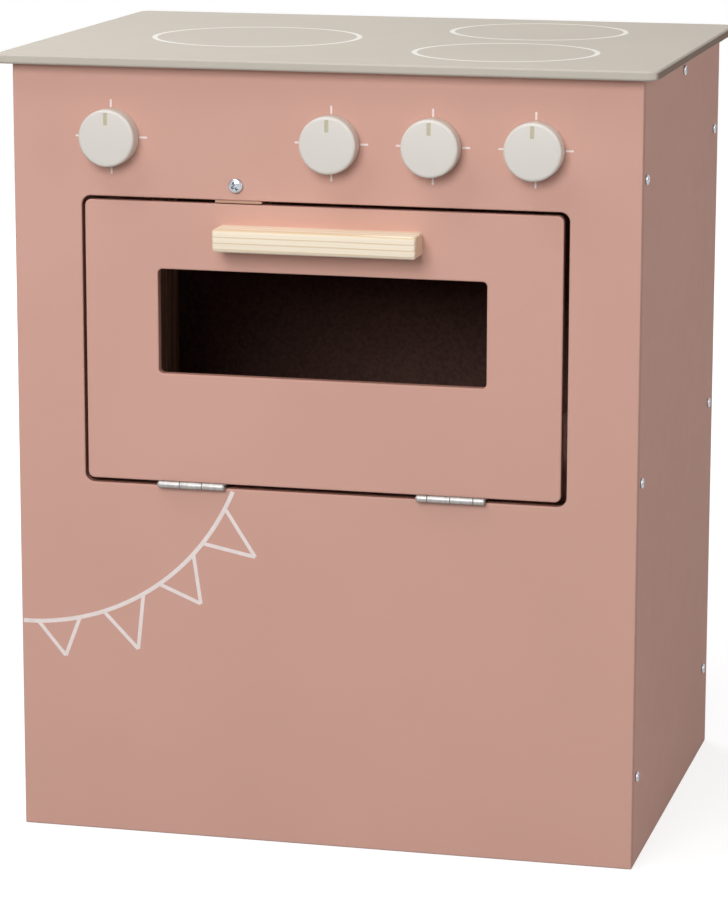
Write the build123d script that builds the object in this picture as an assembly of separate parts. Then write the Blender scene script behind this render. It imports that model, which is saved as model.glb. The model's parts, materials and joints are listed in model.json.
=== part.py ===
from build123d import *

from math import atan, degrees
import os

# Play kitchen: a painted board cabinet with a hob top, four turning knobs and an oven behind a
# drop-down door. Millimetres. +X is the cabinet's right as seen from the front, -Y is the front and
# +Z is up. The origin is on the floor, under the middle of the whole outline.

# Cabinet
body_width = 400.0
body_depth = 300.0
body_height = 496.0
board = 6.0
edge_ease = 0.5

# Countertop
top_thickness = 6.0
top_side_overhang = 10.0
top_front_overhang = 10.0
top_back_overhang = 5.0
top_corner_radius = 8.0
top_edge_ease = 1.0

# Pine battens and rails, widths across X and depths along Y
batten_width = 12.0
batten_depth = 25.0
cleat_width = 12.0
top_cleat_height = 18.0
floor_cleat_height = 12.0
rail_depth = 12.0
sill_rail_height = 20.0
batten_chamfer = 0.6

# Oven opening in the front panel
opening_side_margin = 44.2
opening_below_countertop = 82.1
opening_height = 183.6
opening_corner_radius = 6.0

# Oven door, hung a little left of the middle
door_gap_left = 2.1
door_gap_right = 3.7
door_gap_bottom = 2.8
door_gap_top = 2.4
door_corner_radius = 4.0
window_side_margin = 47.4
window_height = 66.6
window_above_door_bottom = 69.4
window_corner_radius = 3.0
door_rail_height = 15.0
door_rail_end_gap = 12.0

# Handle
handle_length = 129.5
handle_height = 14.5
handle_depth = 20.0
handle_below_door_top = 13.1
handle_round = 1.8
handle_ease = 0.8
handle_screw_spacing = 96.0

# Hinges: knuckles alternate between the lower and the upper leaf, from the left end
hinge_length = 44.0
hinge_spacing = 167.8
left_knuckle_shares = (1, 1, 1)
right_knuckle_shares = (1, 2, 2, 1)
hinge_pin_radius = 1.5
hinge_leaf_thickness = 0.9
hinge_leaf_reach = 8.2
hinge_leaf_corner = 2.0
hinge_leaf_screw_spacing = 28.0
hinge_screw_reach = 5.0
knuckle_radius = 2.45
knuckle_gap = 0.25
barrel_face_gap = 0.35
running_clearance = 0.05

# Knobs
knob_radius = 18.0
knob_depth = 12.0
knob_rim_ease = 1.1
knob_below_countertop = 44.6
single_knob_x = -135.8
knob_row_middle_x = 70.1
knob_pitch = 64.1
pointer_width = 2.2
pointer_length = 7.5
pointer_inset = 2.2
pointer_depth = 0.8
knob_screw_grip = 8.0
turning_gap = 0.3

# Catch over the door
catch_width = 30.0
catch_depth = 18.0
catch_above_opening = 17.0
catch_below_opening = 18.0
catch_middle_x = -53.8
catch_screw_x = -55.1
catch_screw_above_opening = 9.2
catch_lip_thickness = 1.6
catch_lip_drop = 0.2
catch_lip_setback = 0.6
catch_air_gap = 0.4
magnet_width = 14.0
magnet_height = 6.0
magnet_depth = 3.0
strike_width = 24.0
strike_height = 10.0
strike_thickness = 0.8
strike_below_door_top = 2.0

# Screws: places
side_screw_front_inset = 13.0
side_screw_back_inset = 20.0
side_screw_lowest = 57.0
side_screw_highest_drop = 62.0
side_screw_rows = 3
top_side_screw_drop = 9.3
back_screw_inset = 13.0
top_screw_spacing = 170.0

# Screws: how deep they go past what they hold, what is left past their ends, and the air round them
screw_end_cover = 2.0
hinge_screw_bite = 9.0
handle_screw_bite = 12.0
catch_screw_bite = 13.0
hole_clearance = 0.05
crown_slope = 28.0
head_sides = 10
shank_sides = 6

# Places worked out from the sizes above
front_reach = max(handle_depth, top_front_overhang, knob_depth)
face_y = -(front_reach + body_depth + top_back_overhang) / 2 + front_reach
front_inner_y = face_y + board
back_y = face_y + body_depth
back_inner_y = back_y - board
side_inner_x = body_width / 2 - board
batten_inner_x = side_inner_x - batten_width
front_batten_back_y = front_inner_y + batten_depth
back_batten_front_y = back_inner_y - batten_depth
cleat_middle_y = (front_batten_back_y + back_batten_front_y) / 2
opening_width = body_width - 2 * opening_side_margin
opening_top = body_height - opening_below_countertop
opening_bottom = opening_top - opening_height
door_width = opening_width - door_gap_left - door_gap_right
door_offset = (door_gap_left - door_gap_right) / 2
door_bottom = opening_bottom + door_gap_bottom
door_top = opening_top - door_gap_top
door_height = door_top - door_bottom
window_width = door_width - 2 * window_side_margin
window_bottom = door_bottom + window_above_door_bottom
hinge_axis_y = face_y - barrel_face_gap - knuckle_radius
hinge_axis_z = opening_bottom + door_gap_bottom / 2
hinge_leaf_back_y = front_inner_y + hinge_leaf_reach
hinge_xs = [door_offset - hinge_spacing / 2, door_offset + hinge_spacing / 2]
knob_height = body_height - knob_below_countertop
knob_xs = [single_knob_x] + [knob_row_middle_x + k * knob_pitch for k in (-1, 0, 1)]
side_screw_length = board + min(batten_width, cleat_width) - screw_end_cover
top_screw_length = top_cleat_height + top_thickness - screw_end_cover


class Screw:
    """A small pan-head or countersunk screw with flat-sided shank and head, along -Z from its seat."""

    def __init__(self, head, height, shank, countersunk=False, round_shank=False):
        self.head = head
        self.height = height
        self.shank = shank
        self.countersunk = countersunk
        self.round_shank = round_shank

    def shaft(self, length, extra=0):
        """The shank, or its hole where extra is the air round it."""
        radius = self.shank + extra
        section = Circle(radius) if self.round_shank else RegularPolygon(radius, shank_sides)
        return extrude(section, -length - extra)

    def cone(self, extra=0):
        """The part under the surface of a countersunk head."""
        slope = degrees(atan((self.head - self.shank) / self.height))
        rim = RegularPolygon(self.head + extra, head_sides)
        return Rot(180, 0, 0) * extrude(rim, self.height, taper=slope)

    def crown(self):
        """A pan head: its top is narrower than its seat."""
        return extrude(RegularPolygon(self.head, head_sides), self.height, taper=crown_slope)

    def solid(self, length):
        return self.shaft(length) + (self.cone() if self.countersunk else self.crown())

    def drill(self, length):
        hole = self.shaft(length, hole_clearance)
        return hole + self.cone(hole_clearance) if self.countersunk else hole


class Row:
    """Equal screws at several seats that all point one way."""

    def __init__(self, screw, length, seats, direction):
        self.screw = screw
        self.length = length
        self.planes = [Plane(origin=s, z_dir=-Vector(*direction)) for s in seats]

    def solids(self):
        return [plane * self.screw.solid(self.length) for plane in self.planes]

    def drilled(self, part):
        """The part with a hole for each screw."""
        for plane in self.planes:
            part -= plane * self.screw.drill(self.length)
        return part


board_screw = Screw(head=3.5, height=2.0, shank=1.5)
big_screw = Screw(head=4.7, height=2.6, shank=2.0)
knob_screw = Screw(head=5.0, height=2.4, shank=2.0, round_shank=True)
hinge_screw = Screw(head=2.1, height=hinge_leaf_thickness, shank=1.1, countersunk=True)


def block(x_low, x_high, y_low, y_high, z_low, z_high):
    """A box between two corners."""
    size = (x_high - x_low, y_high - y_low, z_high - z_low)
    middle = ((x_low + x_high) / 2, (y_low + y_high) / 2, (z_low + z_high) / 2)
    return Pos(*middle) * Box(*size)


def pair(middle, spacing):
    """The two places at equal distances from the middle."""
    return (middle - spacing / 2, middle + spacing / 2)


def rounded_slab(width, height, thickness, radius, middle_x, middle_z, front_y):
    """A board standing in XZ with rounded corners, its front at front_y."""
    outline = Plane.XZ * RectangleRounded(width, height, radius)
    return Pos(middle_x, front_y, middle_z) * extrude(outline, -thickness)


def front_edges(part):
    """The edges round the face that lies furthest forward."""
    return part.faces().sort_by(Axis.Y)[0].edges()


def mirrored(part):
    """The same piece for the other side of the cabinet."""
    return mirror(part, Plane.YZ)


# Where each group of screws sits


def side_seats(side):
    """The six screws into the corner battens and the one into the top cleat; side is -1 or 1."""
    x = side * body_width / 2
    columns = (face_y + side_screw_front_inset, back_y - side_screw_back_inset)
    pitch = (body_height - side_screw_highest_drop - side_screw_lowest) / (side_screw_rows - 1)
    heights = [side_screw_lowest + k * pitch for k in range(side_screw_rows)]
    seats = [(x, y, z) for y in columns for z in heights]
    return seats + [(x, cleat_middle_y, body_height - top_side_screw_drop)]


def side_rows(side):
    return Row(board_screw, side_screw_length, side_seats(side), (-side, 0, 0))


def back_row():
    """The back panel's screws, at the middle of the battens' width."""
    xs = [s * (side_inner_x - batten_width / 2) for s in (-1, 1)]
    zs = [back_screw_inset, body_height / 2, body_height - back_screw_inset]
    seats = [(x, back_y, z) for x in xs for z in zs]
    return Row(board_screw, side_screw_length, seats, (0, -1, 0))


def top_row():
    """Up through the top cleats into the countertop."""
    z = body_height - top_cleat_height
    xs = [s * (side_inner_x - cleat_width / 2) for s in (-1, 1)]
    seats = [(x, y, z) for x in xs for y in pair(cleat_middle_y, top_screw_spacing)]
    return Row(board_screw, top_screw_length, seats, (0, 0, 1))


def hinge_screw_seats(z):
    y = front_inner_y + hinge_screw_reach
    return [(x, y, z) for h in hinge_xs for x in pair(h, hinge_leaf_screw_spacing)]


def lower_hinge_row():
    seats = hinge_screw_seats(opening_bottom + hinge_leaf_thickness)
    return Row(hinge_screw, hinge_leaf_thickness + hinge_screw_bite, seats, (0, 0, -1))


def upper_hinge_row():
    seats = hinge_screw_seats(door_bottom - hinge_leaf_thickness)
    return Row(hinge_screw, hinge_leaf_thickness + hinge_screw_bite, seats, (0, 0, 1))


def handle_row():
    z = door_top - handle_below_door_top - handle_height / 2
    seats = [(x, front_inner_y, z) for x in pair(door_offset, handle_screw_spacing)]
    return Row(board_screw, board + handle_screw_bite, seats, (0, -1, 0))


def catch_row():
    seat = (catch_screw_x, face_y, opening_top + catch_screw_above_opening)
    return Row(big_screw, board + catch_screw_bite, [seat], (0, 1, 0))


def knob_row(x):
    """The screw from behind, through the panel into the knob; the two turn together."""
    length = board + 2 * turning_gap + knob_screw_grip
    return Row(knob_screw, length, [(x, front_inner_y + turning_gap, knob_height)], (0, -1, 0))


# Cabinet boards


def make_front_panel():
    """The full-width front, its edges eased, with the oven opening and the holes for knobs and catch."""
    panel = block(-body_width / 2, body_width / 2, face_y, front_inner_y, 0, body_height)
    middle_z = opening_bottom + opening_height / 2
    size = (opening_width, opening_height)
    panel -= rounded_slab(*size, board, opening_corner_radius, 0, middle_z, face_y)
    panel = chamfer(front_edges(panel), edge_ease)
    for x in knob_xs:
        panel = knob_row(x).drilled(panel)
    return catch_row().drilled(panel)


def make_side_panel(side):
    """A side that butts against the front panel, its outer back edge eased."""
    panel = block(side_inner_x, body_width / 2, front_inner_y, back_y, 0, body_height)
    back_corner = panel.edges().filter_by(Axis.Z).group_by(Axis.Y)[-1].sort_by(Axis.X)[-1]
    panel = chamfer(back_corner, edge_ease)
    if side < 0:
        panel = mirrored(panel)
    return side_rows(side).drilled(panel)


def make_back_panel():
    panel = block(-side_inner_x, side_inner_x, back_inner_y, back_y, 0, body_height)
    return back_row().drilled(panel)


def make_countertop():
    """The hob top, with rounded corners and eased edges above and below."""
    half = body_width / 2 + top_side_overhang
    y_low, y_high = face_y - top_front_overhang, back_y + top_back_overhang
    top = block(-half, half, y_low, y_high, body_height, body_height + top_thickness)
    top = fillet(top.edges().filter_by(Axis.Z), top_corner_radius)
    rims = top.faces().sort_by(Axis.Z)[0].edges() + top.faces().sort_by(Axis.Z)[-1].edges()
    top = chamfer(rims, top_edge_ease)
    return top_row().drilled(top)


def make_oven_floor():
    """The oven's floor board, notched round the battens and level with the sill."""
    front_y = front_inner_y + rail_depth
    z_low = opening_bottom - board
    floor = block(-side_inner_x, side_inner_x, front_y, back_inner_y, z_low, opening_bottom)
    for x_low in (-side_inner_x, batten_inner_x):
        for y_low in (front_inner_y, back_batten_front_y):
            x_high, y_high = x_low + batten_width, y_low + batten_depth
            floor -= block(x_low, x_high, y_low, y_high, z_low, opening_bottom)
    return floor


# Pine frame


def make_batten(side, y_low):
    """A corner batten with its free edges eased and the holes of the side screws."""
    batten = block(batten_inner_x, side_inner_x, y_low, y_low + batten_depth, 0, body_height)
    inner = batten.edges().filter_by(Axis.Z).group_by(Axis.X)[0]
    batten = chamfer(inner, batten_chamfer)
    if side < 0:
        batten = mirrored(batten)
    batten = side_rows(side).drilled(batten)
    return back_row().drilled(batten)


def make_top_cleat(side):
    x_low = side_inner_x - cleat_width
    z_low = body_height - top_cleat_height
    cleat = block(x_low, side_inner_x, front_batten_back_y, back_batten_front_y, z_low, body_height)
    if side < 0:
        cleat = mirrored(cleat)
    cleat = side_rows(side).drilled(cleat)
    return top_row().drilled(cleat)


def make_floor_cleat(side):
    x_low = side_inner_x - cleat_width
    z_high = opening_bottom - board
    z_low = z_high - floor_cleat_height
    cleat = block(x_low, side_inner_x, front_batten_back_y, back_batten_front_y, z_low, z_high)
    if side < 0:
        cleat = mirrored(cleat)
    return cleat


def make_sill_rail():
    """The rail between the front battens that the lower hinge leaves are screwed to."""
    z_low = opening_bottom - sill_rail_height
    y_high = front_inner_y + rail_depth
    rail = block(-batten_inner_x, batten_inner_x, front_inner_y, y_high, z_low, opening_bottom)
    return lower_hinge_row().drilled(rail)


# Door


def make_door_panel():
    """The door board with its window, both with rounded corners and eased front edges."""
    middle_z = (door_bottom + door_top) / 2
    panel = rounded_slab(door_width, door_height, board, door_corner_radius, door_offset, middle_z, face_y)
    size = (window_width, window_height)
    window_z = window_bottom + window_height / 2
    panel -= rounded_slab(*size, board, window_corner_radius, door_offset, window_z, face_y)
    panel = chamfer(front_edges(panel), edge_ease)
    return handle_row().drilled(panel)


def make_door_rail():
    """The rail behind the door's lower edge that the upper hinge leaves are screwed to."""
    half = door_width / 2 - door_rail_end_gap
    y_high = front_inner_y + rail_depth
    z_high = door_bottom + door_rail_height
    rail = block(door_offset - half, door_offset + half, front_inner_y, y_high, door_bottom, z_high)
    rail = chamfer(rail.edges().filter_by(Axis.X).group_by(Axis.Y)[-1], batten_chamfer)
    return upper_hinge_row().drilled(rail)


def make_handle():
    """A square bar, flat against the door, with rounded long edges and eased ends."""
    z_high = door_top - handle_below_door_top
    ends = pair(door_offset, handle_length)
    bar = block(*ends, face_y - handle_depth, face_y, z_high - handle_height, z_high)
    long_edges = bar.edges().filter_by(Axis.X).group_by(Axis.Y)[0]
    bar = fillet(long_edges, min(handle_round, handle_height / 3))
    tips = bar.faces().sort_by(Axis.X)[0].edges() + bar.faces().sort_by(Axis.X)[-1].edges()
    free_tips = [e for e in tips if e.center().Y < face_y - handle_ease]
    return handle_row().drilled(chamfer(free_tips, handle_ease))


def make_strike_plate():
    """A thin steel plate on the back of the door, stuck on where the magnet meets it."""
    z_high = door_top - strike_below_door_top
    depth = (front_inner_y, front_inner_y + strike_thickness)
    return block(*pair(catch_middle_x, strike_width), *depth, z_high - strike_height, z_high)


# Catch


def stop_y():
    """Where the catch block's lower part faces the strike plate on the closed door."""
    return front_inner_y + strike_thickness + catch_air_gap


def magnet_block(air):
    """The magnet in the catch block, level with the strike plate, or its pocket with some air round it."""
    middle_z = door_top - strike_below_door_top - strike_height / 2
    widths = pair(catch_middle_x, magnet_width + 2 * air)
    heights = pair(middle_z, magnet_height + 2 * air)
    return block(*widths, stop_y(), stop_y() + magnet_depth + air, *heights)


def make_catch_block():
    """The block behind the front panel: its lower part stops the door and holds the magnet, and a thin
    lip reaches forward through the gap over the door."""
    ends = pair(catch_middle_x, catch_width)
    back = front_inner_y + catch_depth
    lip_top = opening_top - catch_lip_drop
    body = block(*ends, front_inner_y, back, opening_top, opening_top + catch_above_opening)
    body += block(*ends, stop_y(), back, opening_top - catch_below_opening, opening_top)
    body += block(*ends, face_y + catch_lip_setback, stop_y(), lip_top - catch_lip_thickness, lip_top)
    return catch_row().drilled(body - magnet_block(hole_clearance))


# Hinges


def barrel(x_low, x_high, radius):
    """A round bar along the hinge axis."""
    middle = ((x_low + x_high) / 2, hinge_axis_y, hinge_axis_z)
    return Pos(*middle) * Rot(0, 90, 0) * Cylinder(radius, x_high - x_low)


def knuckle_spans(hinge_x, shares):
    """Where each knuckle starts and ends along X, with half of the gap off both ends."""
    x = hinge_x - hinge_length / 2
    spans = []
    for share in shares:
        width = hinge_length * share / sum(shares)
        spans.append((x + knuckle_gap / 2, x + width - knuckle_gap / 2))
        x += width
    return spans


def make_leaf(hinge_x, shares, upper):
    """One leaf: a plate in the gap under the door, and every second knuckle of the barrel."""
    x_low, x_high = pair(hinge_x, hinge_length)
    z_low = door_bottom - hinge_leaf_thickness if upper else opening_bottom
    z_high = z_low + hinge_leaf_thickness
    plate_y = hinge_axis_y + knuckle_radius + knuckle_gap
    leaf = block(x_low, x_high, plate_y, hinge_leaf_back_y, z_low, z_high)
    corners = leaf.edges().filter_by(Axis.Z).group_by(Axis.Y)[-1]
    leaf = chamfer(corners, hinge_leaf_corner)
    root_y = hinge_axis_y + (hinge_pin_radius + knuckle_radius) / 2
    for start, end in knuckle_spans(hinge_x, shares)[1 if upper else 0::2]:
        leaf += block(start, end, root_y, plate_y, z_low, z_high)
        leaf += barrel(start, end, knuckle_radius)
    leaf -= barrel(x_low, x_high, hinge_pin_radius + running_clearance)
    row = upper_hinge_row() if upper else lower_hinge_row()
    return row.drilled(leaf)


def make_pin(hinge_x):
    return barrel(*pair(hinge_x, hinge_length), hinge_pin_radius)


# Knobs


def make_knob(x):
    """A round knob with an eased front rim and a pointer groove, upright at rest."""
    front_y = face_y - knob_depth
    length = knob_depth - turning_gap
    knob = Pos(x, front_y + length / 2, knob_height) * Rot(90, 0, 0) * Cylinder(knob_radius, length)
    rim = knob.faces().sort_by(Axis.Y)[0].edges()
    knob = chamfer(rim, knob_rim_ease)
    groove_z = knob_height + knob_radius - pointer_inset - pointer_length / 2
    middle = (x, front_y + pointer_depth / 2, groove_z)
    groove = Pos(*middle) * Box(pointer_width, pointer_depth, pointer_length)
    return knob_row(x).drilled(knob - groove)


# All pieces by name


def cabinet_pieces():
    pieces = {
        "front_panel": make_front_panel(),
        "back_panel": make_back_panel(),
        "countertop": make_countertop(),
        "oven_floor": make_oven_floor(),
        "sill_rail": make_sill_rail(),
        "back_panel_screws": back_row().solids(),
        "countertop_screws": top_row().solids(),
    }
    for name, side in (("left", -1), ("right", 1)):
        pieces[name + "_side_panel"] = make_side_panel(side)
        pieces[name + "_front_batten"] = make_batten(side, front_inner_y)
        pieces[name + "_back_batten"] = make_batten(side, back_batten_front_y)
        pieces[name + "_top_cleat"] = make_top_cleat(side)
        pieces[name + "_floor_cleat"] = make_floor_cleat(side)
        pieces[name + "_side_screws"] = side_rows(side).solids()
    return pieces


def door_pieces():
    return {
        "door_panel": make_door_panel(),
        "door_rail": make_door_rail(),
        "door_handle": make_handle(),
        "handle_screws": handle_row().solids(),
        "strike_plate": make_strike_plate(),
    }


def catch_pieces():
    return {
        "catch_block": make_catch_block(),
        "catch_magnet": magnet_block(air=0),
        "catch_screw": catch_row().solids(),
    }


def hinge_pieces():
    pieces = {
        "lower_leaf_screws": lower_hinge_row().solids(),
        "upper_leaf_screws": upper_hinge_row().solids(),
    }
    knuckles = (left_knuckle_shares, right_knuckle_shares)
    for name, x, shares in zip(("left", "right"), hinge_xs, knuckles):
        pieces[name + "_hinge_lower_leaf"] = make_leaf(x, shares, upper=False)
        pieces[name + "_hinge_upper_leaf"] = make_leaf(x, shares, upper=True)
        pieces[name + "_hinge_pin"] = make_pin(x)
    return pieces


def knob_pieces():
    pieces = {}
    for k, x in enumerate(knob_xs, start=1):
        pieces[f"knob_{k}"] = make_knob(x)
        pieces[f"knob_{k}_screw"] = knob_row(x).solids()
    return pieces


os.makedirs("parts", exist_ok=True)
all_pieces = {**cabinet_pieces(), **door_pieces(), **catch_pieces(), **hinge_pieces(), **knob_pieces()}
for node, shape in all_pieces.items():
    solids = shape if isinstance(shape, list) else [shape]
    export_step(Compound(children=solids), f"parts/{node}.step")
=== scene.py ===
import json
from math import cos, pi, radians, sin, tau

import bmesh
import bpy
from mathutils import Matrix, Vector

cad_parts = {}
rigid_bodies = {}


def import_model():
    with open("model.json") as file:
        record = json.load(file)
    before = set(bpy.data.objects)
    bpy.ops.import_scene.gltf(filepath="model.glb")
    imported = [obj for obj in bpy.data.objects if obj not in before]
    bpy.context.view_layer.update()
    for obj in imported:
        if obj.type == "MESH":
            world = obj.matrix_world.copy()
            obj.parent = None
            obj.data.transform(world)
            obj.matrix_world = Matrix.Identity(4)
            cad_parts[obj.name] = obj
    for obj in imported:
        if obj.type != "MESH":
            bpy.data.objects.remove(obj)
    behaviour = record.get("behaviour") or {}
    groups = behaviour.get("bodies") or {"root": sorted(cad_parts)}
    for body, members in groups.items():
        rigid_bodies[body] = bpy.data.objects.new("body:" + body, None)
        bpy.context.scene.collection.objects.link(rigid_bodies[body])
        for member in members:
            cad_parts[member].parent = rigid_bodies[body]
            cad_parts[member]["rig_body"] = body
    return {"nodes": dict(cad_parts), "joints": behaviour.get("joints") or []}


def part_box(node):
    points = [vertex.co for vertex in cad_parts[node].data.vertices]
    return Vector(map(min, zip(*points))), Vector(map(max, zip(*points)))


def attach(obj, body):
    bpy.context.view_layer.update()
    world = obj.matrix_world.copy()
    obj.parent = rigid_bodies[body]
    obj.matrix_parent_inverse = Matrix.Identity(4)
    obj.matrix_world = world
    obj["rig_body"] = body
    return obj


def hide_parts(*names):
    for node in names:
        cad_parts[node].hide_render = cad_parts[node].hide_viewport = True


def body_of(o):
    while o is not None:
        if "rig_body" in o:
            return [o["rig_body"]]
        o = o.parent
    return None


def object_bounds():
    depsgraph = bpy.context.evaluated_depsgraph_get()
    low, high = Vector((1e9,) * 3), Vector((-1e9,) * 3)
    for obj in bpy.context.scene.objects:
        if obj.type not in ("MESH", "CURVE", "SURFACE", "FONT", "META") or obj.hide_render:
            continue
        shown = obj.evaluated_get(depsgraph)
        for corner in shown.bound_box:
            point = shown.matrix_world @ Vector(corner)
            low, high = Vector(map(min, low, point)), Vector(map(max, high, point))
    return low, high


# Play kitchen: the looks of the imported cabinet, in metres, each piece where the frame has its node

mm = 0.001

# Points that are nearer than this are one point
tiny = 0.001 * mm

white = (1, 1, 1, 1)
black = (0, 0, 0, 1)

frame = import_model()
cad_low, cad_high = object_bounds()
nodes = frame["nodes"]
knob_numbers = range(1, 5)

# Camera, fitted to the cabinet's edges in the photograph, with its angles in degrees
picture_height_px = 900
focal_length_px = 3705
camera_place = Vector((0.5741, -2.3383, 0.7340))
camera_yaw = 13.99
camera_pitch = 11.83
camera_roll = 0.09

# Lamps: name, degrees left of the front and above the floor, distance, size and power
lamps = (
    ("key", 5, 26, 2.8, 1.4, 50),
    ("overhead", 50, 65, 2.3, 1.2, 18),
    ("right_fill", -80, 20, 3.0, 1.5, 25),
    ("back_fill", 142, 30, 2.6, 1.3, 33),
)
ambient = 0.11

# The floor glows where it is seen, less near the object, and its paint takes the shadow
floor_half, floor_drop = 12.0, 0.3 * mm
floor_colour, floor_roughness = 0.35, 0.9
floor_glow_near, floor_glow_far = 0.78, 0.95
floor_near, floor_far = 0.6, 2.0


def srgb(red, green, blue):
    """A colour written in the 0 to 255 values of a screen, as linear light."""
    def linear(value):
        share = value / 255
        return share / 12.92 if share <= 0.04045 else ((share + 0.055) / 1.055) ** 2.4
    return (linear(red), linear(green), linear(blue), 1)


def shade(colour, factor):
    """A colour made darker or lighter."""
    return tuple(c * factor for c in colour[:3]) + (1,)


# Node trees


class Nodes:
    """A node tree in the making."""

    def __init__(self, owner):
        owner.use_nodes = True
        self.tree = owner.node_tree

    def put(self, socket, value):
        """Sets a socket to a value, or joins it to another node's output."""
        if isinstance(value, bpy.types.NodeSocket):
            self.tree.links.new(value, socket)
        else:
            socket.default_value = value

    def fill(self, node, inputs):
        for socket, value in inputs.items():
            self.put(node.inputs[socket], value)
        return node

    def add(self, kind, inputs=(), **settings):
        node = self.tree.nodes.new("ShaderNode" + kind)
        for key, value in settings.items():
            setattr(node, key, value)
        return self.fill(node, dict(inputs))

    def calc(self, operation, a, b=0.0, c=0.0):
        return self.add("Math", {0: a, 1: b, 2: c}, operation=operation).outputs[0]

    def seen_directly(self):
        """1 for rays from the camera, off gloss or through glass, and 0 for the rest."""
        path = self.add("LightPath").outputs
        seen = self.calc("MAXIMUM", path["Is Camera Ray"], path["Is Glossy Ray"])
        return self.calc("MAXIMUM", seen, path["Is Transmission Ray"])


# How far noise mostly strays from its middle, and a shorter reach that gives harder patches
noise_middle = 0.5
noise_reach = 0.2
patch_reach = 0.15

# The cosine between the softened and the true normal where the painted highlight on an edge is full
full_edge = 0.75
bevel_samples = 6


class Look(Nodes):
    """A material in the making: small steps that add one node each, and the shader at their end."""

    def __init__(self, name, **fixed):
        self.material = bpy.data.materials.new(name)
        super().__init__(self.material)
        self.shader = self.tree.nodes["Principled BSDF"]
        self.place = self.add("TexCoord").outputs["Object"]
        for socket, value in fixed.items():
            self.put(self.shader.inputs[socket.replace("_", " ")], value)

    def scaled(self, factors, vector=None):
        """The place, or another vector or colour, times a factor along each axis."""
        inputs = {0: vector or self.place, 1: factors}
        return self.add("VectorMath", inputs, operation="MULTIPLY").outputs[0]

    def axes(self, vector=None):
        split = self.add("SeparateXYZ", {0: vector or self.place})
        return split.outputs["X"], split.outputs["Y"], split.outputs["Z"]

    def distance(self, place, centre):
        inputs = {0: place, 1: centre}
        return self.add("VectorMath", inputs, operation="DISTANCE").outputs["Value"]

    def facing(self, axis, normal="Normal"):
        """How squarely the surface faces along an axis, either way: 0 to 1."""
        direction = self.add("NewGeometry").outputs[normal]
        return self.calc("ABSOLUTE", self.axes(direction)[axis])

    def noise(self, scale, detail, vector=None):
        inputs = {"Vector": vector or self.place, "Scale": scale, "Detail": detail}
        return self.add("TexNoise", inputs).outputs["Fac"]

    def between(self, value, low, high, to_low=0.0, to_high=1.0):
        """A value from low to high, as one from to_low to to_high, and no further."""
        inputs = {"Value": value, "From Min": low, "From Max": high}
        inputs.update({"To Min": to_low, "To Max": to_high})
        return self.add("MapRange", inputs).outputs["Result"]

    def spread(self, noise, to_low=0.0, to_high=1.0, reach=noise_reach):
        """Noise, spread out to fill the values from to_low to to_high."""
        return self.between(noise, noise_middle - reach, noise_middle + reach, to_low, to_high)

    def mix(self, share, first, second):
        node = self.add("Mix", data_type="RGBA")
        sockets = (node.inputs[0], node.inputs[6], node.inputs[7])
        for socket, value in zip(sockets, (share, first, second)):
            self.put(socket, value)
        return node.outputs[2]

    def toned(self, colour, factor):
        """A colour made darker or lighter, written out or worked out by nodes."""
        if isinstance(colour, bpy.types.NodeSocket):
            return self.scaled((factor, factor, factor), colour)
        return shade(colour, factor)

    def tones(self, share, colour, low, high):
        """A colour from its tone low to its tone high."""
        return self.mix(share, self.toned(colour, low), self.toned(colour, high))

    def soft_edges(self, radius):
        return self.add("Bevel", {"Radius": radius}, samples=bevel_samples).outputs["Normal"]

    def edge_share(self, normal):
        """How far the softened normal turns from the true one: 0 on a flat, up to 1 on an edge."""
        true = self.add("NewGeometry").outputs["Normal"]
        inputs = {0: normal, 1: true}
        dot = self.add("VectorMath", inputs, operation="DOT_PRODUCT").outputs["Value"]
        return self.between(dot, 1.0, full_edge)

    def bump(self, height, distance, strength, normal=None):
        inputs = {"Height": height, "Distance": distance, "Strength": strength}
        if normal:
            inputs["Normal"] = normal
        return self.add("Bump", inputs).outputs["Normal"]

    def wear(self, colour, roughness, normal):
        """Sets the three inputs that vary over the surface."""
        self.fill(self.shader, {"Base Color": colour, "Roughness": roughness, "Normal": normal})
        return self.material


# Stage


def link(thing):
    bpy.context.scene.collection.objects.link(thing)
    return thing


def make_camera():
    """The camera at the photograph's place, looking a little down and to the left."""
    yaw, pitch, roll = (radians(a) for a in (camera_yaw, camera_pitch, camera_roll))
    up = Vector((0, 0, 1))
    level = Vector((-sin(yaw), cos(yaw), 0))
    across = Vector((cos(yaw), sin(yaw), 0))
    ahead = level * cos(pitch) - up * sin(pitch)
    tilted_up = up * cos(pitch) + level * sin(pitch)
    right = across * cos(roll) + tilted_up * sin(roll)
    above = tilted_up * cos(roll) - across * sin(roll)
    data = bpy.data.cameras.new("camera")
    data.lens = focal_length_px * data.sensor_width / picture_height_px
    camera = link(bpy.data.objects.new("camera", data))
    turn = Matrix((right, above, -ahead)).transposed().to_4x4()
    camera.matrix_world = Matrix.Translation(camera_place) @ turn
    bpy.context.scene.camera = camera


def make_lamp(name, azimuth, elevation, distance, size, power):
    """A square soft light that faces the middle of the object."""
    middle = (cad_low + cad_high) / 2
    a, e = radians(azimuth), radians(elevation)
    towards = Vector((-sin(a) * cos(e), -cos(a) * cos(e), sin(e)))
    data = bpy.data.lights.new(name, "AREA")
    data.shape = "SQUARE"
    data.size = size
    data.energy = power
    lamp = link(bpy.data.objects.new(name, data))
    lamp.location = middle + towards * distance
    lamp.rotation_mode = "QUATERNION"
    lamp.rotation_quaternion = towards.to_track_quat("Z", "Y")


def make_world():
    """White where it is seen, and a plain even light on the object."""
    world = bpy.data.worlds.new("world")
    bpy.context.scene.world = world
    made = Nodes(world)
    light = made.fill(made.tree.nodes["Background"], {"Color": white, "Strength": ambient})
    backdrop = made.add("Background", {"Color": white, "Strength": 1})
    both = {0: made.seen_directly(), 1: light.outputs[0], 2: backdrop.outputs[0]}
    output = made.tree.nodes["World Output"]
    made.put(output.inputs["Surface"], made.add("MixShader", both).outputs[0])


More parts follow.
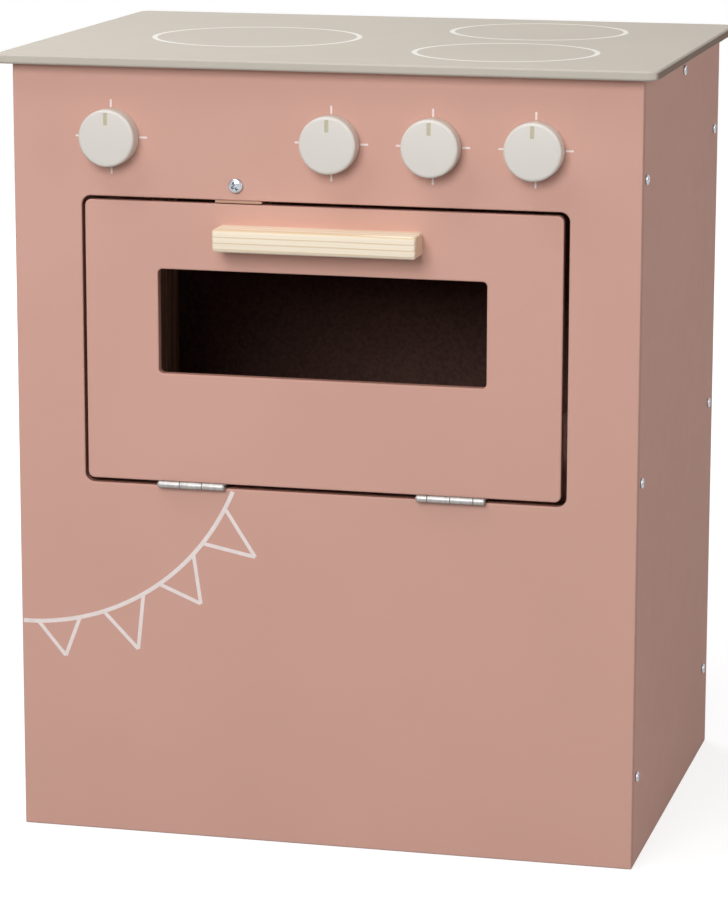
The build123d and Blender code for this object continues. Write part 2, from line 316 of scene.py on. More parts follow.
def make_floor():
    """A wide pale floor that looks white and keeps the object's shadow."""
    mesh = bpy.data.meshes.new("floor")
    corners = [(x * floor_half, y * floor_half, 0) for x, y in ((-1, -1), (1, -1), (1, 1), (-1, 1))]
    mesh.from_pydata(corners, [], [(0, 1, 2, 3)])
    floor = link(bpy.data.objects.new("floor", mesh))
    floor.location.z = -floor_drop
    look = Look("pale_floor", Roughness=floor_roughness, Specular_IOR_Level=0)
    look.put(look.shader.inputs["Base Color"], shade(white, floor_colour))
    paint = look.shader.outputs[0]
    away = look.add("VectorMath", {0: look.place}, operation="LENGTH").outputs["Value"]
    strength = look.between(away, floor_near, floor_far, floor_glow_near, floor_glow_far)
    glow = look.add("Emission", {"Strength": strength}).outputs[0]
    both = look.add("AddShader", {0: paint, 1: glow}).outputs[0]
    seen = look.add("MixShader", {0: look.seen_directly(), 1: paint, 2: both}).outputs[0]
    look.put(look.tree.nodes["Material Output"].inputs["Surface"], seen)
    mesh.materials.append(look.material)


# Paint: its specular level, the softening of its edges, its clouds of tone, the roller's stipple,
# how its roughness wanders, and for each board the tone of the painted highlight on its edges and
# its roughness
paint_shine = 0.06
paint_edge = 0.9 * mm
cloud_scale, cloud_detail, cloud_dark, cloud_pale = 7, 3, 0.975, 1.02
stipple_scale, stipple_detail, stipple_height, stipple_strength = 1300, 2, 0.03 * mm, 0.35
gloss_scale, gloss_detail, smoother, rougher = 60, 3, 0.04, 0.05
board_highlight_and_roughness = (1.08, 0.62)
hob_highlight_and_roughness = (1.03, 0.78)
knob_highlight_and_roughness = (1.02, 0.42)

# How squarely a knob's surface faces forward where its face's tone starts and is full, over the
# painted shade of its side
knob_face_start, knob_face_full = 0.1, 0.5

# How squarely the front's boards face forward where the painted shade on their sawn edges is full
# and ends
sawn_full, sawn_end = 0.3, 0.8

# How far from the front's outer edges that painted shade starts to fade and stops, and what is left
# of it
outer_fade_start, outer_fade_end, outer_share = 2 * mm, 1 * mm, 0.3

# How squarely the countertop's edges face outward where their tone, painted shade on the side edges,
# starts and is full
top_edge_start, top_edge_full = 0.75, 0.95

# The painted shade along the seam behind the front panel: how far it reaches each way, where it has
# faded out, and its tone
seam_reach, seam_end, seam_shade_tone = 0.25 * mm, 0.7 * mm, 0.75

# The back panel: the depth of its bare inner skin, dark with painted shade as well, where the paint
# outside is full, and its fibres
bare_depth, painted_depth = 1.0 * mm, 1.6 * mm
fibre_scale, fibre_detail, fibre_dark, fibre_pale = 420, 4, 0.8, 1.15

# Hob rings: the place of each middle and its radius, the line's width and soft border, and the
# depths under the upper face where the print ends and is full
hob_rings = (
    (-80.0 * mm, -2.8 * mm, 66.9 * mm),
    (98.1 * mm, -61.4 * mm, 57.5 * mm),
    (91.3 * mm, 78.1 * mm, 57.5 * mm),
)
ring_line, ring_blur = 3.4 * mm, 0.15 * mm
ring_print_end, ring_print_full = 0.4 * mm, 0.2 * mm


def paint_finish(look, colour, highlight_and_roughness=board_highlight_and_roughness):
    """Paint on smooth board: faint clouds, a fine roller texture, and softened edges made paler by a
    painted highlight.
    """
    edge_highlight, roughness = highlight_and_roughness
    soft = look.soft_edges(paint_edge)
    clouds = look.spread(look.noise(cloud_scale, cloud_detail))
    tint = look.tones(clouds, colour, cloud_dark, cloud_pale)
    # Painted highlight: the edges are lifted towards a paler tone
    tint = look.mix(look.edge_share(soft), tint, look.toned(colour, edge_highlight))
    gloss = look.noise(gloss_scale, gloss_detail)
    rough = look.spread(gloss, roughness - smoother, roughness + rougher)
    stipple = look.noise(stipple_scale, stipple_detail)
    return look.wear(tint, rough, look.bump(stipple, stipple_height, stipple_strength, soft))


def painted_board(name, colour):
    return paint_finish(Look(name, Specular_IOR_Level=paint_shine), colour)


def knob_board(name, colour, side):
    """The knobs' satin paint, browner round their sides with painted shade and a painted reflection
    of the pink front.
    """
    look = Look(name)
    face = look.between(look.facing(1), knob_face_start, knob_face_full)
    return paint_finish(look, look.mix(face, side, colour), knob_highlight_and_roughness)


def front_board(name, colour, edge):
    """The paint of the front's boards, with painted shade darkening their sawn edges, less so at the
    outer sides.
    """
    look = Look(name, Specular_IOR_Level=paint_shine)
    sawn = look.between(look.facing(1, "True Normal"), sawn_full, sawn_end, 1.0, 0.0)
    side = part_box("front_panel")[1].x
    out = look.calc("ABSOLUTE", look.axes()[0])
    inner = look.between(out, side - outer_fade_start, side - outer_fade_end, 1.0, outer_share)
    return paint_finish(look, look.mix(look.calc("MULTIPLY", sawn, inner), colour, edge))


def side_board(name, colour):
    """The side's paint, with a fine line of painted shade along the seam where it meets the back of
    the front panel.
    """
    look = Look(name, Specular_IOR_Level=paint_shine)
    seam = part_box("front_panel")[1].y
    # Painted shade of the seam's crack, darkest right at the seam
    away = look.calc("ABSOLUTE", look.calc("SUBTRACT", look.axes()[1], seam))
    tone = look.between(away, seam_reach, seam_end, seam_shade_tone, 1.0)
    return paint_finish(look, look.mix(tone, black, colour))


def back_board(name, colour, inner):
    """Painted outside, and bare mottled hardboard towards the oven, darkened as well by painted
    shade of the closed oven.
    """
    look = Look(name, Specular_IOR_Level=paint_shine)
    fibres = look.spread(look.noise(fibre_scale, fibre_detail), reach=patch_reach)
    bare = look.tones(fibres, inner, fibre_dark, fibre_pale)
    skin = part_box("back_panel")[0].y
    outside = look.between(look.axes()[1], skin + bare_depth, skin + painted_depth)
    return paint_finish(look, look.mix(outside, bare, colour))


def hob_board(name, colour, front_edge, shaded_side_edge, print_colour):
    """The countertop's paint, a little darker on its front and back edges and browner with painted
    shade on its side edges, with printed rings on the upper face.
    """
    look = Look(name, Specular_IOR_Level=paint_shine)
    for axis, edge in ((0, shaded_side_edge), (1, front_edge)):
        share = look.between(look.facing(axis), top_edge_start, top_edge_full)
        colour = look.mix(share, colour, edge)
    flat = look.scaled((1, 1, 0))
    half = ring_line / 2
    rings = 0.0
    for x, y, radius in hob_rings:
        away = look.distance(flat, (x, y, 0))
        off = look.calc("ABSOLUTE", look.calc("SUBTRACT", away, radius))
        ring = look.between(off, half - ring_blur, half + ring_blur, 1.0, 0.0)
        rings = look.calc("MAXIMUM", rings, ring)
    top = cad_high.z
    upper = look.between(look.axes()[2], top - ring_print_end, top - ring_print_full)
    printed = look.calc("MULTIPLY", rings, upper)
    return paint_finish(look, look.mix(printed, colour, print_colour), hob_highlight_and_roughness)


# Ink: its patches of tone, its roughness and its relief
ink_patch_scale, ink_patch_detail, ink_dark, ink_pale = 220, 3, 0.96, 1.02
ink_gloss_scale, ink_gloss_detail, ink_smooth, ink_rough = 90, 2, 0.4, 0.5
ink_relief_scale, ink_relief_detail, ink_relief_height, ink_relief_strength = 900, 2, 0.02 * mm, 0.3


def ink(name, colour):
    """Thin printed ink, a little uneven."""
    look = Look(name)
    patches = look.spread(look.noise(ink_patch_scale, ink_patch_detail), reach=patch_reach)
    tint = look.tones(patches, colour, ink_dark, ink_pale)
    rough = look.spread(look.noise(ink_gloss_scale, ink_gloss_detail), ink_smooth, ink_rough)
    relief = look.noise(ink_relief_scale, ink_relief_detail)
    return look.wear(tint, rough, look.bump(relief, ink_relief_height, ink_relief_strength))


# Pine: the slow wander of its rings, and where in a ring the late wood is full and drops away
wander_scale, wander_detail, wander_along, wander_reach = 9, 2, 0.35, 2.2
late_full, ring_drop = 0.92, 0.94

# Its fibres, their tone and roughness, and the relief of the grain, where rings lie lower
fibres_along, fibres_across, fibres_detail = 18.0, 900.0, 3
fibre_low, fibre_high, fibre_tone = 0.3, 0.75, 0.93
pine_smooth, pine_rough = 0.55, 0.68
grain_dip, grain_height, grain_strength = -0.4, 0.06 * mm, 0.5

# Its softened edges, where its sawn ends start and are full, and what they leave of each colour:
# darker end grain, deepened with painted shade
pine_edge = 0.6 * mm
end_start, end_full = 0.5, 0.9
end_grain_and_shade = (0.78, 0.66, 0.6)


def pine(name, along, early, late, spacing, heart, late_start=0.45):
    """Planed pine: growth rings about a line far off the surface, and fibres along the grain."""
    look = Look(name)
    run = "XYZ".index(along)

    def stretched(on_run, across):
        return look.scaled([on_run if k == run else across for k in range(3)])

    wander = look.noise(wander_scale, wander_detail, stretched(wander_along, 1.0))
    away = look.distance(stretched(0.0, 1.0), heart)
    shifted = look.calc("MULTIPLY_ADD", wander, wander_reach * spacing, away)
    phase = look.calc("FRACT", look.calc("DIVIDE", shifted, spacing))
    late_wood = look.between(phase, late_start, late_full)
    rings = look.calc("MULTIPLY", late_wood, look.between(phase, ring_drop, 1.0, 1.0, 0.0))
    fibres = look.noise(1, fibres_detail, stretched(fibres_along, fibres_across))
    tint = look.mix(rings, early, late)
    fibre_share = look.between(fibres, fibre_low, fibre_high)
    tint = look.mix(fibre_share, look.toned(tint, fibre_tone), tint)
    # Sawn ends: darker end grain, deepened with painted shade
    ends = look.between(look.facing(run), end_start, end_full)
    tint = look.mix(ends, tint, look.scaled(end_grain_and_shade, tint))
    height = look.calc("MULTIPLY_ADD", rings, grain_dip, fibres)
    normal = look.bump(height, grain_height, grain_strength, look.soft_edges(pine_edge))
    return look.wear(tint, look.spread(fibres, pine_smooth, pine_rough), normal)


# Plated steel: its streaks, and the softening of its edges
streak_scale, streak_detail, streak_pale = 3, 3, 1.05
plated_edge = 0.15 * mm


def plated(name, colour, roughness, streaks_each_way, streak_dark):
    """Bright plated steel with fine streaks in its tone and gloss."""
    look = Look(name, Metallic=1.0)
    streaks = look.noise(streak_scale, streak_detail, look.scaled(streaks_each_way))
    tint = look.tones(look.spread(streaks), colour, streak_dark, streak_pale)
    return look.wear(tint, look.spread(streaks, *roughness), look.soft_edges(plated_edge))


pink = srgb(210, 165, 151)
materials = {
    "pink_paint": painted_board("pink_paint", pink),
    # The front's sawn edges get painted shade, the darkness of the door's gaps
    "pink_front": front_board("pink_front", pink, edge=srgb(172, 124, 110)),
    "pink_side": side_board("pink_side", pink),
    # The back panel's inner hardboard tone is partly painted shade of the closed oven
    "pink_back": back_board("pink_back", pink, inner=srgb(99, 74, 67)),
    "catch_paint": painted_board("catch_paint", srgb(198, 159, 137)),
    # The countertop's side edges are browner with painted shade
    "hob_paint": hob_board("hob_paint", srgb(200, 192, 181), front_edge=srgb(192, 185, 174),
                           shaded_side_edge=srgb(148, 128, 116), print_colour=srgb(236, 234, 228)),
    # The knobs' browner side tone is painted shade and a painted pink reflection
    "knob_paint": knob_board("knob_paint", srgb(214, 209, 202), side=srgb(208, 199, 189)),
    "pointer_paint": ink("pointer_paint", srgb(189, 182, 154)),
    "white_ink": ink("white_ink", srgb(235, 222, 219)),
    "handle_pine": pine("handle_pine", "X", early=srgb(246, 232, 210), late=srgb(222, 194, 156),
                        spacing=3.1 * mm, heart=(0, -0.120, 0.330), late_start=0.72),
    "batten_pine": pine("batten_pine", "Z", early=srgb(218, 196, 172), late=srgb(182, 156, 130),
                        spacing=2.2 * mm, heart=(0.26, 0.21, 0)),
    # The sill rail's dark stain is painted shade, for the dark gap under the door
    "gap_shade_pine": pine("gap_shade_pine", "X", early=srgb(116, 81, 67), late=srgb(88, 60, 50),
                         spacing=2.6 * mm, heart=(0, -0.200, 0.120)),
    "cleat_pine": pine("cleat_pine", "Y", early=srgb(222, 192, 150), late=srgb(170, 128, 84),
                       spacing=3.4 * mm, heart=(0.26, 0, 0.40)),
    "zinc": plated("zinc", (0.46, 0.48, 0.52, 1), roughness=(0.16, 0.28),
                   streaks_each_way=(200, 200, 200), streak_dark=0.9),
    "nickel": plated("nickel", (0.38, 0.37, 0.36, 1), roughness=(0.38, 0.50),
                     streaks_each_way=(260, 40, 40), streak_dark=0.72),
}


# Meshes: how near two points weld, the angle from which an edge stays sharp, and the number of
# sides of a small turned shape
weld_distance = 0.0005 * mm
sharp_degrees = 32
small_round = 40


def turned(profile, segments, closed=False):
    """A solid turned about Z from (radius, height) pairs that start and end on the axis, or a
    closed ring whose last pair joins the first. Each pair on the axis gives one point."""
    mesh = bmesh.new()
    rows = []
    for radius, height in profile:
        count = segments if radius > 0 else 1
        row = [(radius * cos(tau * k / count), radius * sin(tau * k / count)) for k in range(count)]
        rows.append([mesh.verts.new((x, y, height)) for x, y in row])
    for low, high in zip(rows, rows[1:] + rows[:1] if closed else rows[1:]):
        for k in range(segments):
            here, after = ((low[j % len(low)], high[j % len(high)]) for j in (k, k + 1))
            corners = (here[0], after[0], after[1], here[1])
            mesh.faces.new(tuple(dict.fromkeys(corners)))
    bmesh.ops.recalc_face_normals(mesh, faces=mesh.faces)
    return mesh


def prism(outline, low, high, shrink=1.0):
    """A solid from an outline at the height high down to the same, times shrink, at low."""
    mesh = bmesh.new()
    bottom = [mesh.verts.new((x * shrink, y * shrink, low)) for x, y in outline]
    top = [mesh.verts.new((x, y, high)) for x, y in outline]
    mesh.faces.new(bottom[::-1])
    mesh.faces.new(top)
    count = len(outline)
    for k in range(count):
        mesh.faces.new((bottom[k], bottom[(k + 1) % count], top[(k + 1) % count], top[k]))
    bmesh.ops.recalc_face_normals(mesh, faces=mesh.faces)
    return mesh


def as_mesh(shape, name="made"):
    """A finished mesh with smooth rounds and sharp edges."""
    mesh = bpy.data.meshes.new(name)
    shape.to_mesh(mesh)
    shape.free()
    mesh.shade_smooth()
    mesh.set_sharp_from_angle(angle=radians(sharp_degrees))
    return mesh


def cleaned(shape):
    """A cut shape without doubled points, flat scraps or faces of more than four sides."""
    bmesh.ops.remove_doubles(shape, verts=shape.verts, dist=weld_distance)
    bmesh.ops.dissolve_degenerate(shape, dist=weld_distance, edges=shape.edges)
    many_sided = [face for face in shape.faces if len(face.verts) > 4]
    bmesh.ops.triangulate(shape, faces=many_sided, ngon_method="BEAUTY")
    return shape


def carved(solid, cutter, operation="DIFFERENCE"):
    """One shape less another, or the two together."""
    target = link(bpy.data.objects.new("target", as_mesh(solid)))
    tool = link(bpy.data.objects.new("tool", as_mesh(cutter)))
    cut = target.modifiers.new("cut", "BOOLEAN")
    cut.operation = operation
    cut.solver = "EXACT"
    cut.object = tool
    depsgraph = bpy.context.evaluated_depsgraph_get()
    result = bpy.data.meshes.new_from_object(target.evaluated_get(depsgraph))
    shape = bmesh.new()
    shape.from_mesh(result)
    bpy.data.meshes.remove(result)
    for thing in (target, tool):
        mesh = thing.data
        bpy.data.objects.remove(thing)
        bpy.data.meshes.remove(mesh)
    return cleaned(shape)


def united(shapes):
    """Shapes that overlap, melted into one."""
    whole = shapes[0]
    for shape in shapes[1:]:
        whole = carved(whole, shape, "UNION")
    return whole


def joined(shapes):
    """Several shapes as one."""
    whole = bmesh.new()
    for shape in shapes:
        part = bpy.data.meshes.new("part")
        shape.to_mesh(part)
        shape.free()
        whole.from_mesh(part)
        bpy.data.meshes.remove(part)
    return whole


def moved(shape, matrix):
    bmesh.ops.transform(shape, matrix=matrix, verts=shape.verts)
    return shape


def upright_on(origin, direction):
    """The matrix that puts a shape made along +Z at a point, along a direction."""
    turn = Vector(direction).to_track_quat("Z", "Y").to_matrix().to_4x4()
    return Matrix.Translation(origin) @ turn


def add_piece(name, shape, looks, body, stands_for=()):
    """Makes an object of a shape, puts it on the body that it rides on, and hides the CAD nodes that
    it stands for.
    """
    mesh = as_mesh(shape, name)
    for look in looks:
        mesh.materials.append(materials[look])
    piece = link(bpy.data.objects.new(name, mesh))
    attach(piece, body)
    if stands_for:
        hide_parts(*stands_for)


def islands(node):
    """The box of each separate solid in a CAD node, in order of their lowest corners."""
    shape = bmesh.new()
    shape.from_mesh(nodes[node].data)
    bmesh.ops.remove_doubles(shape, verts=shape.verts, dist=tiny)
    left = set(shape.verts)
    boxes = []
    while left:
        group, border = set(), [left.pop()]
        while border:
            vert = border.pop()
            group.add(vert)
            near = {edge.other_vert(vert) for edge in vert.link_edges} & left
            left -= near
            border.extend(near)
        places = [vert.co for vert in group]
        low = Vector([min(place[k] for place in places) for k in range(3)])
        high = Vector([max(place[k] for place in places) for k in range(3)])
        boxes.append((low, high))
    shape.free()
    return sorted(boxes, key=lambda box: tuple(box[0]))


# Screws: the radius and height of the head and the radius of the shank of each kind. A leaf's
# screws are as tall in the head as the leaf is thick
leaf_thickness = 0.9 * mm
board_screw = {"head": 3.3 * mm, "height": 2.0 * mm, "shank": 1.45 * mm}
knob_screw = {"head": 5.0 * mm, "height": 2.4 * mm, "shank": 2.0 * mm}
catch_screw = {"head": 4.7 * mm, "height": 2.6 * mm, "shank": 1.95 * mm, "turn": 0.55}
leaf_screw = {"head": 2.0 * mm, "height": leaf_thickness, "shank": 1.05 * mm, "countersunk": True}

# Each node of screws, the way their heads face, and their kind
screw_rows = [
    ("left_side_screws", (-1, 0, 0), board_screw),
    ("right_side_screws", (1, 0, 0), board_screw),
    ("back_panel_screws", (0, 1, 0), board_screw),
    ("countertop_screws", (0, 0, -1), board_screw),
    ("handle_screws", (0, 1, 0), board_screw),
    ("lower_leaf_screws", (0, 0, 1), leaf_screw),
    ("upper_leaf_screws", (0, 0, -1), leaf_screw),
    ("catch_screw", (0, -1, 0), catch_screw),
]
screw_rows += [(f"knob_{k}_screw", (0, 1, 0), knob_screw) for k in knob_numbers]

# How far the first screw of a row is turned, and each next one further, in radians
first_turn, turn_step = 0.6, 1.1

# A domed head's and a countersunk head's shape, in shares of the head's radius or height
dome_steps, dome_height = 7, 0.62
skirt_height, skirt_radius = 0.85, 0.96
flat_radius, flat_edge = 0.97, 0.05

# The point, in shares of the shank's radius or of the whole length
tip_length, longest_tip, tip_radius = 1.4, 0.2, 0.25

# The cross recess, in shares of the head's radius or height, and how it narrows to its foot
cross_reach, cross_half_width, cross_foot = 0.66, 0.19, 0.6
flat_recess, dome_recess, recess_above = 0.7, 0.9, 0.2 * mm


def cross(reach, half_width):
    """The outline of a cross recess."""
    quarter = [(reach, -half_width), (reach, half_width), (half_width, half_width)]
    points = []
    for k in range(4):
        turn = Matrix.Rotation(k * pi / 2, 2)
        points += [tuple(turn @ Vector(p)) for p in quarter]
    return points


def screw_shape(head, height, shank, length, countersunk):
    """A cross-recess screw whose head's top is at the origin and whose point is down Z."""
    if countersunk:
        profile = [(0, 0), (head * flat_radius, 0), (head, -flat_edge * height)]
    else:
        angles = [0.5 * pi * (k / dome_steps) for k in range(dome_steps + 1)]
        profile = [(head * sin(a), -dome_height * height * (1 - cos(a))) for a in angles]
        profile += [(head, -skirt_height * height), (head * skirt_radius, -height)]
    tip = min(tip_length * shank, length * longest_tip)
    profile += [(shank, -height), (shank, -length + tip)]
    profile += [(tip_radius * shank, -length), (0, -length)]
    depth = (flat_recess if countersunk else dome_recess) * height
    outline = cross(cross_reach * head, cross_half_width * head)
    return carved(turned(profile, small_round), prism(outline, -depth, recess_above, cross_foot))


def add_screws(node, outward, head, height, shank, countersunk=False, turn=first_turn):
    """Detailed screws in the places of a CAD node's screws, each turned further than the last."""
    direction = Vector(outward)
    axis = max(range(3), key=lambda k: abs(direction[k]))
    shapes = []
    for count, (low, high) in enumerate(islands(node)):
        top = (low + high) / 2
        top[axis] = high[axis] if direction[axis] > 0 else low[axis]
        shape = screw_shape(head, height, shank, high[axis] - low[axis], countersunk)
        spin = Matrix.Rotation(turn + count * turn_step, 4, "Z")
        shapes.append(moved(shape, upright_on(top, direction) @ spin))
    body = body_of(nodes[node])[0]
    add_piece(node + "_look", joined(shapes), ["zinc"], body, [node])


def make_screws():
    for node, outward, kind in screw_rows:
        add_screws(node, outward, **kind)


# Knobs: the rounding of the rim, the small ease at the foot, the pointer's groove, and the bore
# for the screw
knob_segments, rim_steps = 128, 8
knob_rim_radius, knob_foot = 1.9 * mm, 0.3 * mm
pointer_width, pointer_length = 2.4 * mm, 7.6 * mm
pointer_inset, pointer_depth, pointer_cut_above = 2.2 * mm, 0.2 * mm, 1 * mm
knob_bore_radius, knob_bore_depth = 2.05 * mm, 8.3 * mm


def knob_shape(radius, depth):
    """A knob that faces +Z, with a rounded rim, the pointer's groove and the screw's bore."""
    angles = [0.5 * pi * k / rim_steps for k in range(rim_steps + 1)]
    rim = [(radius - knob_rim_radius * (1 - cos(a)), depth - knob_rim_radius * (1 - sin(a)))
           for a in angles]
    bore = [(0, knob_bore_depth), (knob_bore_radius, knob_bore_depth), (knob_bore_radius, 0)]
    side = [(radius - knob_foot, 0), (radius, knob_foot)]
    knob = turned(bore + side + rim + [(0, depth)], knob_segments)
    half, top = pointer_width / 2, radius - pointer_inset
    foot = top - pointer_length
    outline = [(-half, foot), (half, foot), (half, top), (-half, top)]
    return carved(knob, prism(outline, depth - pointer_depth, depth + pointer_cut_above))


def paint_pointer(shape, radius, depth):
    """Gives the groove's floor and walls the second material."""
    top = radius - pointer_inset
    for face in shape.faces:
        middle = face.calc_center_median()
        across = abs(middle.x) <= pointer_width / 2 + tiny
        along = top - pointer_length < middle.y < top + tiny
        sunk = depth - pointer_depth - tiny <= middle.z < depth - tiny
        if across and along and sunk:
            face.material_index = 1
    return shape


def make_knobs():
    for k in knob_numbers:
        node = f"knob_{k}"
        low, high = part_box(node)
        radius, depth = (high.x - low.x) / 2, high.y - low.y
        shape = paint_pointer(knob_shape(radius, depth), radius, depth)
        middle = Vector(((low.x + high.x) / 2, high.y, (low.z + high.z) / 2))
        to_front = Matrix(((1, 0, 0), (0, 0, -1), (0, 1, 0))).to_4x4()
        moved(shape, Matrix.Translation(middle) @ to_front)
        looks = ["knob_paint", "pointer_paint"]
        add_piece(node + "_look", shape, looks, node, [node])


# Handle: the radius of its rounded edges and the steps of the round
handle_round, handle_round_steps = 2.2 * mm, 6


def make_handle():
    """The pine bar with every edge that is free of the door rounded over."""
    low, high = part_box("door_handle")
    shape = bmesh.new()
    bmesh.ops.create_cube(shape, size=1)
    size = Matrix.Diagonal((*(high - low), 1))
    moved(shape, Matrix.Translation((low + high) / 2) @ size)
    free = [edge for edge in shape.edges if min(vert.co.y for vert in edge.verts) < high.y - tiny]
    bmesh.ops.bevel(shape, geom=free, offset=handle_round, segments=handle_round_steps,
                    profile=0.5, affect="EDGES")
    add_piece("door_handle_look", shape, ["handle_pine"], "door", ["door_handle"])


# Hinges: the pin's bore, the knuckles with the gap between two of them and the rounding of their
# ends, and how each hinge's length is shared out
hinge_pin_bore = 1.55 * mm
knuckle_segments, knuckle_rim_steps = 48, 6
knuckle_radius, knuckle_gap = 2.45 * mm, 0.25 * mm
knuckle_rounding, barrel_end_rounding = 0.22 * mm, 1.3 * mm
knuckle_shares = {"left": (1, 1, 1), "right": (1, 2, 2, 1)}

# The leaves' cut corners, and for their countersunk holes the room round the screw, the depth of
# the straight rim, and how far the cutter stands out on both sides
leaf_corner = 2.0 * mm
hole_room, hole_rim, hole_overlap = 0.15 * mm, 0.1 * mm, 1 * mm


def knuckle_spans(low, high, shares):
    """Where each knuckle starts and ends along the hinge."""
    x, spans = low, []
    for share in shares:
        width = (high - low) * share / sum(shares)
        spans.append((x + knuckle_gap / 2, x + width - knuckle_gap / 2))
        x += width
    return spans


def rounded_rim(rounding):
    """(radius, height) pairs from a knuckle's end face, at height 0, up to its side. Where the
    rounding takes the whole wall, the first pair is left to the bore."""
    wall = knuckle_radius - hinge_pin_bore
    inward = min(rounding, wall)
    first = 0 if inward < wall else 1
    angles = [0.5 * pi * k / knuckle_rim_steps for k in range(first, knuckle_rim_steps + 1)]
    centre = knuckle_radius - inward
    return [(centre + inward * sin(a), rounding * (1 - cos(a))) for a in angles]


def knuckle(start, end, axis, start_rounding, end_rounding):
    """A rolled tube with rounded ends."""
    length = end - start
    profile = rounded_rim(start_rounding)
    profile += [(radius, length - height) for radius, height in rounded_rim(end_rounding)[::-1]]
    profile += [(hinge_pin_bore, length), (hinge_pin_bore, 0)]
    tube = turned(profile, knuckle_segments, closed=True)
    return moved(tube, upright_on((start, axis.y, axis.z), (1, 0, 0)))


def leaf_hole():
    """The cutter of a countersunk hole, its mouth at the origin."""
    mouth, bore = leaf_screw["head"] + hole_room, leaf_screw["shank"] + hole_room
    below = leaf_thickness + hole_overlap
    profile = [(0, hole_overlap), (mouth, hole_overlap), (mouth, -hole_rim)]
    profile += [(bore, -leaf_thickness), (bore, -below), (0, -below)]
    return turned(profile, small_round)


def leaf_plate(low_x, high_x, low_y, high_y, low_z, which):
    """The flat of a leaf, with its two free corners cut and a countersunk hole for each screw."""
    c = leaf_corner
    outline = [(low_x, low_y), (high_x, low_y), (high_x, high_y - c), (high_x - c, high_y),
               (low_x + c, high_y), (low_x, high_y - c)]
    high_z = low_z + leaf_thickness
    plate = prism(outline, low_z, high_z)
    face, outward = (low_z, -1) if which == "upper" else (high_z, 1)
    for low, high in islands(f"{which}_leaf_screws"):
        middle = (low + high) / 2
        if low_x < middle.x < high_x:
            place = upright_on((middle.x, middle.y, face), (0, 0, outward))
            plate = carved(plate, moved(leaf_hole(), place))
    return plate


def hinge_axis():
    """A point on the line that the door turns about."""
    places = {joint["name"]: joint["pos_m"] for joint in frame["joints"]}
    return Vector(places["door_hinge"])


def make_leaf(side, which):
    """A leaf's plate, the tabs that join it to its knuckles, and the knuckles."""
    node = f"{side}_hinge_{which}_leaf"
    low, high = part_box(node)
    axis = hinge_axis()
    pin_low, pin_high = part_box(f"{side}_hinge_pin")
    upper = which == "upper"
    plate_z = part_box("door_panel")[0].z - leaf_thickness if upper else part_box("sill_rail")[1].z
    plate_y = axis.y + knuckle_radius + knuckle_gap
    root_y = axis.y + (hinge_pin_bore + knuckle_radius) / 2
    shapes = [leaf_plate(low.x, high.x, plate_y, high.y, plate_z, which)]
    spans = knuckle_spans(pin_low.x, pin_high.x, knuckle_shares[side])
    last = len(spans) - 1
    for count in range(1 if upper else 0, len(spans), 2):
        start, end = spans[count]
        start_rounding = barrel_end_rounding if count == 0 else knuckle_rounding
        end_rounding = barrel_end_rounding if count == last else knuckle_rounding
        shapes.append(knuckle(start, end, axis, start_rounding, end_rounding))
        tab = [(start, root_y), (end, root_y), (end, plate_y), (start, plate_y)]
        shapes.append(prism(tab, plate_z, plate_z + leaf_thickness))
    body = "door" if upper else "cabinet"
    add_piece(node + "_look", joined(shapes), ["nickel"], body, [node])


def make_hinges():
    for side in knuckle_shares:
        for which in ("lower", "upper"):
            make_leaf(side, which)


# Prints on the front: their places are right of and above its lower left corner, and their
# angles in degrees
ink_depth = 0.05 * mm
tick_start, tick_end, tick_width = 18.4 * mm, 23.3 * mm, 1.2 * mm
rope_x, rope_z, rope_radius = 3.1 * mm, 286.1 * mm, 150.0 * mm
rope_start, rope_end, rope_steps = -90.8, -22.5, 48
rope_width, pennant_line = 2.68 * mm, 2.4 * mm

# Pennants: the angles where one hangs from the rope, how far it drops, and how far its tip leans
pennants = (
    (-87.0, -76.1, 23.6 * mm, 0.6 * mm),
    (-69.7, -58.3, 30.4 * mm, -4.5 * mm),
    (-53.4, -41.5, 26.1 * mm, -2.8 * mm),
    (-37.9, -27.2, 32.3 * mm, -1.1 * mm),
)


def front_ink(outlines):
    """Thin ink shapes that stand on the front panel's face."""
    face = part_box("front_panel")[0].y
    to_front = Matrix(((1, 0, 0, 0), (0, 0, -1, face), (0, 1, 0, 0), (0, 0, 0, 1)))
    return moved(united([prism(outline, 0, ink_depth) for outline in outlines]), to_front)


def bar(start, end, width):
    """The outline of a straight line with some width, its ends cut square."""
    start, end = Vector(start), Vector(end)
    side = (end - start).normalized().orthogonal() * width / 2
    return [tuple(p) for p in (start - side, end - side, end + side, start + side)]


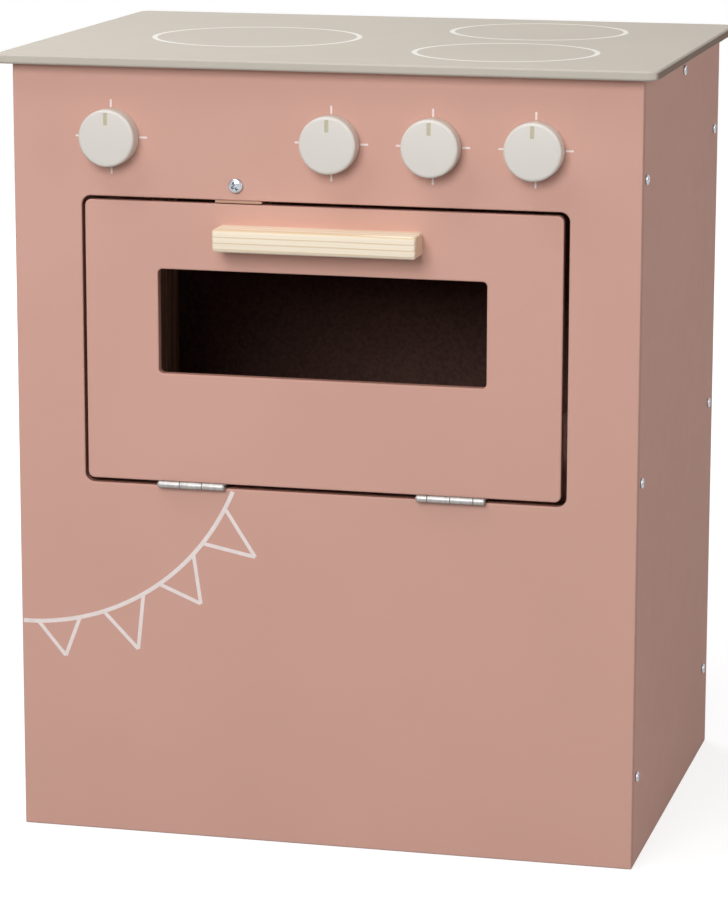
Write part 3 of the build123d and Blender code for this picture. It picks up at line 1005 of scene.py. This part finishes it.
def make_ticks():
    """Four short lines round each knob."""
    outlines = []
    for k in knob_numbers:
        low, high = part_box(f"knob_{k}")
        x, z = (low.x + high.x) / 2, (low.z + high.z) / 2
        for quarter in range(4):
            a = quarter * pi / 2
            ends = [(x + r * cos(a), z + r * sin(a)) for r in (tick_start, tick_end)]
            outlines.append(bar(*ends, tick_width))
    add_piece("knob_ticks", front_ink(outlines), ["white_ink"], "cabinet")


def rope_point(angle, radius=rope_radius, lean=0.0):
    """A point on the front, by its angle and distance from the middle of the rope's arc, and how
    far it is then moved along the rope."""
    a = radians(angle)
    x = rope_x + radius * cos(a) - lean * sin(a)
    z = rope_z + radius * sin(a) + lean * cos(a)
    return (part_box("front_panel")[0].x + x, z)


def rope_outline():
    """The outline of the rope, a long thin arc."""
    swing = rope_end - rope_start
    angles = [rope_start + swing * k / rope_steps for k in range(rope_steps + 1)]
    inner = [rope_point(a, rope_radius - rope_width / 2) for a in angles]
    outer = [rope_point(a, rope_radius + rope_width / 2) for a in angles]
    return outer + inner[::-1]


def make_bunting():
    """The rope and its pennants, each of them two lines from the rope to a tip."""
    outlines = [rope_outline()]
    for first, second, drop, lean in pennants:
        tip = rope_point((first + second) / 2, rope_radius + drop, lean)
        outlines += [bar(rope_point(angle), tip, pennant_line) for angle in (first, second)]
    add_piece("bunting_print", front_ink(outlines), ["white_ink"], "cabinet")


# CAD nodes that keep their shape, by the look that they wear
sides = ("left", "right")
wears = {
    "pink_paint": ["oven_floor", "door_rail"],
    "pink_front": ["front_panel", "door_panel"],
    "catch_paint": ["catch_block"],
    "pink_side": ["left_side_panel", "right_side_panel"],
    "pink_back": ["back_panel"],
    "hob_paint": ["countertop"],
    # Its dark tone is painted shade for the gap under the door
    "gap_shade_pine": ["sill_rail"],
    "batten_pine": [f"{side}_{end}_batten" for side in sides for end in ("front", "back")],
    "cleat_pine": [f"{side}_{end}_cleat" for side in sides for end in ("top", "floor")],
    "zinc": ["strike_plate", "catch_magnet"],
    "nickel": ["left_hinge_pin", "right_hinge_pin"],
}


def dress_nodes():
    for look, names in wears.items():
        for name in names:
            for slot in nodes[name].material_slots:
                slot.material = materials[look]


bpy.context.scene.view_settings.view_transform = "Standard"
make_camera()
make_world()
make_floor()
for lamp in lamps:
    make_lamp(*lamp)
dress_nodes()
make_screws()
make_knobs()
make_handle()
make_hinges()
make_ticks()
make_bunting()
